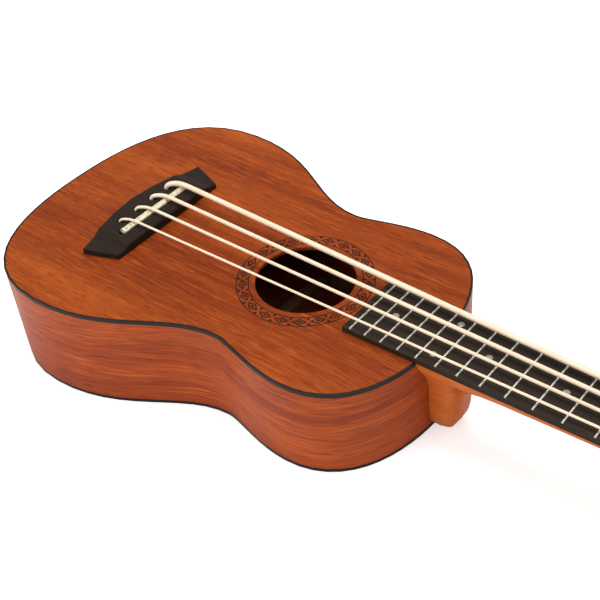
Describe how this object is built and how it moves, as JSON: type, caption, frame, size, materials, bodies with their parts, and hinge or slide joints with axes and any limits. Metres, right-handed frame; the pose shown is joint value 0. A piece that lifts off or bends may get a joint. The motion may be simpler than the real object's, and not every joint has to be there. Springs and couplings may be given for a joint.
{
  "type": "bass ukulele",
  "caption": "Hollow wooden bass ukulele with a round sound hole, black bridge and binding, fretted neck, slanted headstock, soft strings and worm-gear tuning keys.",
  "frame": {"origin": "on the flat outer face of the back plate, on the centre line, at the middle of the body's length", "axes": "+X along the instrument towards the headstock, +Y towards the thick-string side, +Z out of the soundboard"},
  "size_m": [0.7783, 0.26, 0.1008],
  "materials": {
    "top_wood": "satin reddish mahogany",
    "side_wood": "satin dark reddish mahogany",
    "neck_wood": "satin orange-brown mahogany",
    "inner_wood": "bare light wood",
    "black_wood": "oiled dark hardwood",
    "binding": "black, satin",
    "bone": "polished cream bone",
    "string": "soft, creamy white",
    "fret_metal": "polished nickel silver",
    "tuner_metal": "bright plated",
    "pickup": "grey sheath"
  },
  "bodies": {
    "instrument": {"soundboard": "top_wood", "back_plate": "side_wood", "side_treble": "side_wood", "side_bass": "side_wood", "top_binding": "binding", "back_binding": "binding", "neck_block": "inner_wood", "tail_block": "inner_wood", "top_lining_treble": "inner_wood", "top_lining_bass": "inner_wood", "back_lining_treble": "inner_wood", "back_lining_bass": "inner_wood", "top_brace_upper": "inner_wood", "top_brace_lower": "inner_wood", "back_brace_upper": "inner_wood", "back_brace_lower": "inner_wood", "bridge_plate": "inner_wood", "bridge": "black_wood", "fretboard": "black_wood", "saddle": "bone", "nut": "bone", "saddle_pickup": "pickup", "output_jack": "tuner_metal", "neck": "neck_wood", "fret_01": "fret_metal", "fret_02": "fret_metal", "fret_03": "fret_metal", "fret_04": "fret_metal", "fret_05": "fret_metal", "fret_06": "fret_metal", "fret_07": "fret_metal", "fret_08": "fret_metal", "fret_09": "fret_metal", "fret_10": "fret_metal", "fret_11": "fret_metal", "fret_12": "fret_metal", "fret_13": "fret_metal", "fret_14": "fret_metal", "fret_15": "fret_metal", "fret_16": "fret_metal", "string_1_thick": "string", "string_2": "string", "string_3": "string", "string_4_thin": "string", "tuner_frame_1": "tuner_metal", "tuner_bushing_1": "tuner_metal", "tuner_frame_2": "tuner_metal", "tuner_bushing_2": "tuner_metal", "tuner_frame_3": "tuner_metal", "tuner_bushing_3": "tuner_metal", "tuner_frame_4": "tuner_metal", "tuner_bushing_4": "tuner_metal"},
    "string_post_1": {"tuner_post_1": "tuner_metal"},
    "tuning_key_1": {"tuner_key_1": "tuner_metal"},
    "string_post_2": {"tuner_post_2": "tuner_metal"},
    "tuning_key_2": {"tuner_key_2": "tuner_metal"},
    "string_post_3": {"tuner_post_3": "tuner_metal"},
    "tuning_key_3": {"tuner_key_3": "tuner_metal"},
    "string_post_4": {"tuner_post_4": "tuner_metal"},
    "tuning_key_4": {"tuner_key_4": "tuner_metal"}
  },
  "joints": [
    {"name": "key_1_turn", "type": "hinge", "parent": "instrument", "child": "tuning_key_1", "pos_m": [0.4947, 0.023, 0.03256], "axis": [0, 1, 0], "continuous": true},
    {"name": "post_1_turn", "type": "hinge", "parent": "instrument", "child": "string_post_1", "pos_m": [0.49026, 0.023, 0.05508], "axis": [0.2298, 0, 0.9732], "continuous": true},
    {"name": "key_2_turn", "type": "hinge", "parent": "instrument", "child": "tuning_key_2", "pos_m": [0.54823, 0.023, 0.01991], "axis": [0, 1, 0], "continuous": true},
    {"name": "post_2_turn", "type": "hinge", "parent": "instrument", "child": "string_post_2", "pos_m": [0.54379, 0.023, 0.04244], "axis": [0.2298, 0, 0.9732], "continuous": true},
    {"name": "key_3_turn", "type": "hinge", "parent": "instrument", "child": "tuning_key_3", "pos_m": [0.54823, -0.023, 0.01991], "axis": [0, 1, 0], "continuous": true},
    {"name": "post_3_turn", "type": "hinge", "parent": "instrument", "child": "string_post_3", "pos_m": [0.54379, -0.023, 0.04244], "axis": [0.2298, 0, 0.9732], "continuous": true},
    {"name": "key_4_turn", "type": "hinge", "parent": "instrument", "child": "tuning_key_4", "pos_m": [0.4947, -0.023, 0.03256], "axis": [0, 1, 0], "continuous": true},
    {"name": "post_4_turn", "type": "hinge", "parent": "instrument", "child": "string_post_4", "pos_m": [0.49026, -0.023, 0.05508], "axis": [0.2298, 0, 0.9732], "continuous": true}
  ],
  "couplings": [
    {"joint": "post_1_turn", "follows": "key_1_turn", "ratio": -0.071429},
    {"joint": "post_2_turn", "follows": "key_2_turn", "ratio": -0.071429},
    {"joint": "post_3_turn", "follows": "key_3_turn", "ratio": -0.071429},
    {"joint": "post_4_turn", "follows": "key_4_turn", "ratio": -0.071429}
  ]
}
